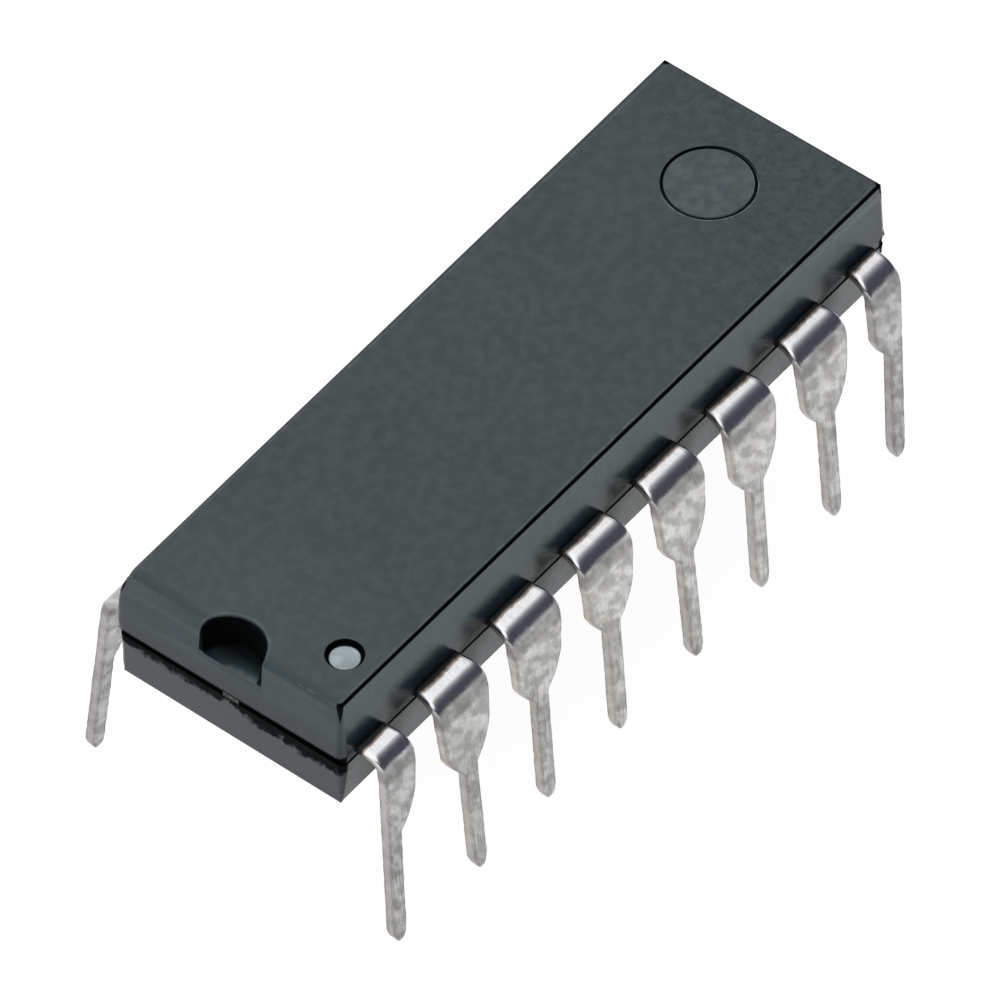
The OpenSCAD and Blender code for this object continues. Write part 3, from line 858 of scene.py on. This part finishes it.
def leadSkin(form, slot, slotX, knock, rng):
    # A rounded section carried along the sheet's path. The section lies across the row and along the
    # sheet's normal; the solder's lumps push each point out along its own outward direction.
    drop = form["drop"] - knock["short"]
    reach, up, turn, along = sheetPath(form, form["lean"] + knock["lean"], drop, knock["early"])
    reach = reach + knock["out"] * np.clip(along / 0.4, 0, 1)
    left, right = sheetOutline(form, slot, up, along, drop)
    (leanX, leanN, dirX, dirN), cut = roundedSection(*form["skinPoints"])
    toEnd = np.clip((-up - 0.3) / 5.4, 0, 1)
    half, middle = (left + right) / 2, (right - left) / 2
    middle = middle + knock["side"] * toEnd + form["spread"] * max(slotX, 0) * (1 - toEnd)
    toTip = np.clip((along[-1] - along) / form["tipRound"], 0, 1)
    thick = form["thickness"] / 2 * (0.22 + 0.78 * np.sqrt(1 - (1 - toTip) ** 2))
    radius = np.minimum(np.interp(along, [0.65, 1.05], form["cornerRadius"]), 0.7 * thick)
    x = middle[:, None] + leanX * (half - radius)[:, None] + dirX * radius[:, None]
    n = leanN * (thick - radius)[:, None] + dirN * radius[:, None]
    lumps = waves(rng, *form["lumps"])
    fine = waves(rng, *form["fineLumps"])
    way = along[:, None] + 0 * x
    dull = np.clip((along - 0.55) / 0.5, 0.12, 1)[:, None]
    skin = form["lumpHeight"] * dull * (0.75 * lumps(x, way) + 0.3 * fine(x + 5 * leanN, way))
    skin = np.clip(skin, -form["lumpLimit"], form["lumpLimit"]) * (toTip[:, None] > 0.2)
    x = x + skin * dirX * 0.6
    n = n + skin * dirN
    y = reach[:, None] + n * np.sin(turn)[:, None]
    z = np.maximum(up[:, None] + n * np.cos(turn)[:, None], -form["drop"])
    points, sheet = (np.stack(parts, -1).reshape(-1, 3) for parts in ((x, y, z), (x, way, n)))
    rows, columns = x.shape
    faces = gridFaces(rows, columns).tolist() + endFaces(rows, columns)
    cornerGap = np.hypot((1 - np.abs(leanX)) * half[:, None], (1 - np.abs(leanN)) * thick[:, None])
    return points, faces, sheet, np.tile(cut, rows), cornerGap.ravel()


def plateSides(form, slot):
    # Half widths of the plate: the end leads have the blade's on their outer side
    shoulder, blade = form["shoulderWidth"] / 2, form["bladeWidth"] / 2
    return (blade if slot == 0 else shoulder), (blade if slot == form["count"] - 1 else shoulder)


def heldPlate(form, slot):
    # The plate in the moulding, from a round lock hole out to a rectangle: for each direction from the
    # hole's middle one point on the circle and one on the rectangle, on the upper and the lower face
    left, right = plateSides(form, slot)
    low, high = form["rootAt"], form["faceAt"] + 0.04
    centre = np.array([(right - left) / 2, (form["rootAt"] + form["faceAt"]) / 2])
    corners = np.array([(-left, low), (right, low), (right, high), (-left, high)]) - centre
    angles = np.sort(np.concatenate([np.linspace(0, 2 * np.pi, 64, endpoint=False),
                                     np.arctan2(corners[:, 1], corners[:, 0]) % (2 * np.pi)]))
    ray = np.stack([np.cos(angles), np.sin(angles)], -1)
    with np.errstate(divide="ignore"):
        reachX = np.where(ray[:, 0] > 0, (right - centre[0]) / ray[:, 0], (-left - centre[0]) / ray[:, 0])
        reachY = np.where(ray[:, 1] > 0, (high - centre[1]) / ray[:, 1], (low - centre[1]) / ray[:, 1])
    reach = np.minimum(np.abs(reachX), np.abs(reachY))
    hole, rim = centre + form["lockHole"] * ray, centre + reach[:, None] * ray
    upper = np.full(len(angles), form["thickness"] / 2)
    loop = [np.column_stack(pair) for pair in ((hole, upper), (rim, upper), (rim, -upper), (hole, -upper))]
    faces = gridFaces(len(angles), 4, closedRows=True).tolist()
    return np.stack(loop, 1).reshape(-1, 3), faces


def heldFinger(form, slot, slotX):
    # A straight bar from the plate's inner edge to its place in the fan round the paddle
    left, right = plateSides(form, slot)
    angle = math.pi * (slot + 1) / (form["count"] + 1)
    tip = np.array([-form["fanReach"][0] * math.cos(angle) - slotX, form["fanReach"][1] * math.sin(angle)])
    root = np.array([(right - left) / 2, form["rootAt"] + form["fingerWidth"] / 2])
    run = (tip - root) / np.linalg.norm(tip - root)
    side = np.array([-run[1], run[0]]) * form["fingerWidth"] / 2
    (leanX, leanN, dirX, dirN), _ = roundedSection(5, 1)
    radius, half = 0.02, form["thickness"] / 2
    across = (leanX * (form["fingerWidth"] / 2 - radius) + dirX * radius) / (form["fingerWidth"] / 2)
    tall = leanN * (half - radius) + dirN * radius
    rows, columns = 12, len(tall)
    stations = np.linspace(0, 1, rows)
    plan = root + stations[:, None, None] * (tip - root) + across[None, :, None] * side
    points = np.concatenate([plan, np.broadcast_to(tall[None, :, None], (rows, columns, 1))], -1)
    faces = gridFaces(rows, columns).tolist() + endFaces(rows, columns)
    return points.reshape(-1, 3), faces


def makeLead(number, form, material):
    slot = number - 1 if number <= form["count"] else 2 * form["count"] - number
    slotX = (slot - (form["count"] - 1) / 2) * form["pitch"]
    rng = np.random.default_rng(form["seed"] + number)
    knock = {kind: values[number - 1] for kind, values in form["knocks"].items()}
    skin, faces, sheet, cut, cornerGap = leadSkin(form, slot, slotX, knock, rng)
    shells = [(skin, faces), heldPlate(form, slot), heldFinger(form, slot, slotX)]
    points = np.concatenate([shell[0] for shell in shells])
    allFaces, offset = [], 0
    for part, partFaces in shells:
        allFaces += [[index + offset for index in face] for face in partFaces]
        offset += len(part)
    row = -1.0 if number <= form["count"] else 1.0
    placed = points * (1.0, row, 1.0) + (slotX, 0.0, form["drop"])
    mesh = bpy.data.meshes.new("dippedLead%02d" % number)
    mesh.from_pydata((placed * mm).tolist(), [], allFaces)
    held = len(points) - len(skin)
    sheetPlace = np.concatenate([sheet + (0, 0, 3.7 * number), np.tile((0.0, -2.0, 3.7 * number), (held, 1))])
    layer = mesh.attributes.new("sheetPlace", "FLOAT_VECTOR", "POINT")
    layer.data.foreach_set("vector", sheetPlace.astype(np.float32).ravel())
    marks = {
        "cutFace": np.append(cut, np.zeros(held)),
        "tarnishAndShade": np.full(len(points), form["tarnishAndShade"][number - 1]),
        "cornerGap": np.append(cornerGap, np.ones(held)),
    }
    for label, values in marks.items():
        layer = mesh.attributes.new(label, "FLOAT", "POINT")
        layer.data.foreach_set("value", values.astype(np.float32))
    work = bmesh.new()
    work.from_mesh(mesh)
    bmesh.ops.recalc_face_normals(work, faces=work.faces)
    work.to_mesh(mesh)
    work.free()
    mesh.shade_smooth()
    mesh.set_sharp_from_angle(angle=math.radians(50))
    mesh.materials.append(material)
    lead = addObject(mesh.name, mesh)
    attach(lead, "root")
    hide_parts("lead_%02d" % number)
    return lead


solderLook = {
    "polished": (0.86, 0.87, 0.89),
    "dull": (0.70, 0.695, 0.66),
    "shade": (0.525, 0.52, 0.49),
    "warm": (0.60, 0.53, 0.48),
    "stain": (0.17, 0.16, 0.145),
    "cut": (0.60, 0.555, 0.50),
    "tarnishAndShadeTone": (0.64, 0.67, 0.73),
    "copper": (0.34, 0.21, 0.125),
    "resin": (0.012, 0.014, 0.015),
    "stains": 0.30,                 # how strongly the marks show
    "drawnStains": 0.42,
    "cornerLine": 0.32,
    "underBendShade": 0.50,
    "polishedTo": 0.75,             # distance along the sheet to which the bend is burnished
    "copperTo": 0.205,              # to which the solder leaves the copper bare
    "resinTo": 0.150,               # to which a film of moulding compound covers the root
    "slant": 0.45,                  # the solder's marks run down at a slant
    "stainStreaks": (0.06, 0.16, 0.58, 0.72),       # width, stretch, and the noise at which they fade in
    "drawnStreaks": (0.045, 0.05, 0.50, 0.64),
    "rubStreaks": (0.03, 0.12, 0.45, 0.75),
    "roughness": (0.50, 0.40),
    "mottleSize": 0.32,
    "grainSize": 0.045,
    "grainDepth": 0.0028,
}


def attribute(tree, name, output="Fac"):
    return out(addNode(tree, "ShaderNodeAttribute", attribute_name=name), output)


def dippedColour(look, place, skin, mottle, wander, cut, corner, tarnishAndShade):
    # Dull dipped solder: blotches in three tones, drawn-out stains, all darker on a tarnished lead or one
    # painted in shade
    along = apart(place)[1]
    base = mixed(eased(mottle, 0.38, 0.60), look["shade"], look["dull"])
    base = mixed(eased(noise(skin, 0.3, 3.0, 0.6), 0.52, 0.68) * 0.5, base, look["warm"])
    base = mixed(1.0, base, eased(noise(skin, 0.55, 2.0, 0.5), 0.34, 0.66, 0.86, 1.08), "MULTIPLY")
    base = mixed(streaks(place, *look["stainStreaks"]) * look["stains"], base, look["stain"])
    drawn = streaks(place, *look["drawnStreaks"]) * eased(along, 1.6, 2.8, 0.0, look["drawnStains"])
    base = mixed(drawn, base, look["stain"])
    sheared = mixed(eased(mottle, 0.36, 0.60), look["warm"], look["cut"])
    base = mixed(eased(cut, 0.5, 0.9) * 0.8, base, sheared)
    # A dark line wanders along the sheared corners
    lineReach = eased(noise(place, 0.22, 3.0, 0.6), 0.36, 0.64, 0.0, 0.055)
    line = eased(lineReach - corner, -0.02, 0.02) * eased(along, 0.8, 1.2, 0.0, look["cornerLine"])
    base = mixed(line, base, look["stain"])
    # Just under the burnished bend a painted dark reflection runs all the way across
    underBendShade = band(wander * 0.2 + along, 0.82, 1.22, 0.10)
    base = mixed(underBendShade * look["underBendShade"], base, look["stain"])
    # Darker and bluer by the lead's value: tarnish, and painted shade on leads lit from behind
    base = tinted(tarnishAndShade, base, look["tarnishAndShadeTone"])
    return mixed(1.0, base, eased(along, 2.4, 3.0, 1.0, 0.90), "MULTIPLY")


def solderMaterial(look):
    material, tree, sockets = newFinish("dippedSolder")
    place = attribute(tree, "sheetPlace", "Vector")
    cut, corner, tarnishAndShade = (attribute(tree, name) for name in ("cutFace", "cornerGap", "tarnishAndShade"))
    across, along, number = apart(place)
    # Pattern place: slanted across the blade, and another one for each lead
    slanted = {"X": across, "Y": across * -look["slant"] + along, "Z": number}
    skin = out(addNode(tree, "ShaderNodeCombineXYZ", slanted))
    height, _ = grain(skin, look["grainSize"], 0.5)
    mottle = noise(skin, look["mottleSize"], 3.0, 0.5)
    wander = noise(place, 0.5, 2.0, 0.5)
    base = dippedColour(look, place, skin, mottle, wander, cut, corner, tarnishAndShade)
    # The bend is burnished by the forming tool; toward the body bare copper and then a film of compound
    edge = wander * 0.30 + (look["polishedTo"] - 0.15)
    burnished = 1.0 - eased(along, edge - 0.22, edge + 0.08)
    burnished = burnished * eased(cut, 0.95, 0.6) * eased(tarnishAndShade, 0.66, 0.60)
    base = mixed(burnished * 0.92, base, look["polished"])
    start = noise(place, 0.2, 4.0, 0.65) * 0.10 + noise(place, 1.1, 1.0, 0.5) * 0.16 - 0.13 - along
    bare = eased(start + look["copperTo"], -0.035, 0.035)
    resin = eased(start + look["resinTo"], -0.02, 0.02)
    base = mixed(bare * 0.85, base, look["copper"])
    feed(mixed(resin, base, look["resin"]), sockets["Base Color"])
    feed(1.0 - resin, sockets["Metallic"])
    dullRough = eased(mottle, 0.35, 0.65, *look["roughness"])
    rubs = streaks(place, *look["rubStreaks"])
    shine = rubs * 0.12 + 0.12
    feed(dullRough + burnished * (shine - dullRough) + bare * 0.2, sockets["Roughness"])
    relief = height * (1.0 - burnished * 0.85) + rubs * 0.10
    bumped(relief, look["grainDepth"], sockets)
    return material


solderFinish = solderMaterial(solderLook)
for leadNumber in range(1, 2 * leadForm["count"] + 1):
    leadPiece = makeLead(leadNumber, leadForm, solderFinish)
print("leads made:", len(leadPiece.data.polygons), "faces in the last")


# Inside: paddle, adhesive, die and bond wires keep their frame meshes and get finishes

insideLook = {
    "paddle": {"pale": (0.55, 0.50, 0.40), "dark": (0.22, 0.19, 0.14), "metallic": 1.0, "size": 0.06,
               "depth": 0.002, "roughness": (0.32, 0.5)},
    "adhesive": {"pale": (0.42, 0.42, 0.42), "dark": (0.16, 0.16, 0.165), "metallic": 0.0, "size": 0.03,
                 "depth": 0.004, "roughness": (0.45, 0.7)},
    "silicon": {"pale": (0.16, 0.17, 0.22), "dark": (0.05, 0.055, 0.08), "metallic": 0.0, "size": 0.25,
                "depth": 0.0004, "roughness": (0.06, 0.16)},
    "gold": {"pale": (0.95, 0.68, 0.26), "dark": (0.75, 0.47, 0.15), "metallic": 1.0, "size": 0.02,
             "depth": 0.0006, "roughness": (0.16, 0.3)},
    "smear": (0.034, 0.048, 0.050),
    "smearCrumb": (0.30, 0.28, 0.20),
}


def insideMaterial(name, kind):
    look = insideLook[kind]
    material, tree, sockets = newFinish(name)
    place = placeInMm(tree)
    height, mottle = grain(place, look["size"], 0.4)
    base = mixed(eased(mottle, 0.36, 0.62), look["dark"], look["pale"])
    base = mixed(streaks(place, look["size"], 0.1, 0.55, 0.75) * 0.4, base, look["dark"])
    # What reaches the outside is the broken end of a tie bar, smeared with moulding compound
    smeared = eased(abs(apart(place)[0]), 9.3, 9.4)
    smear = mixed(specks(place, 0.07, 0.5, 0.3), insideLook["smear"], insideLook["smearCrumb"])
    feed(mixed(smeared, base, smear), sockets["Base Color"])
    feed((1.0 - smeared) * look["metallic"], sockets["Metallic"])
    feed(smeared * 0.3 + eased(height, 0.35, 0.65, *look["roughness"]), sockets["Roughness"])
    bumped(height, look["depth"], sockets)
    return material


def giveMaterial(names, material):
    for name in names:
        piece = nodes[name]
        if not piece.material_slots:
            piece.data.materials.append(material)
        for slot in piece.material_slots:
            slot.material = material


giveMaterial(["die_paddle"], insideMaterial("frameMetal", "paddle"))
giveMaterial(["die_attach"], insideMaterial("silverAdhesive", "adhesive"))
giveMaterial(["silicon_die"], insideMaterial("polishedSilicon", "silicon"))
giveMaterial(["bond_wire_%02d" % number for number in range(1, 17)], insideMaterial("drawnGold", "gold"))
print("inside finished")
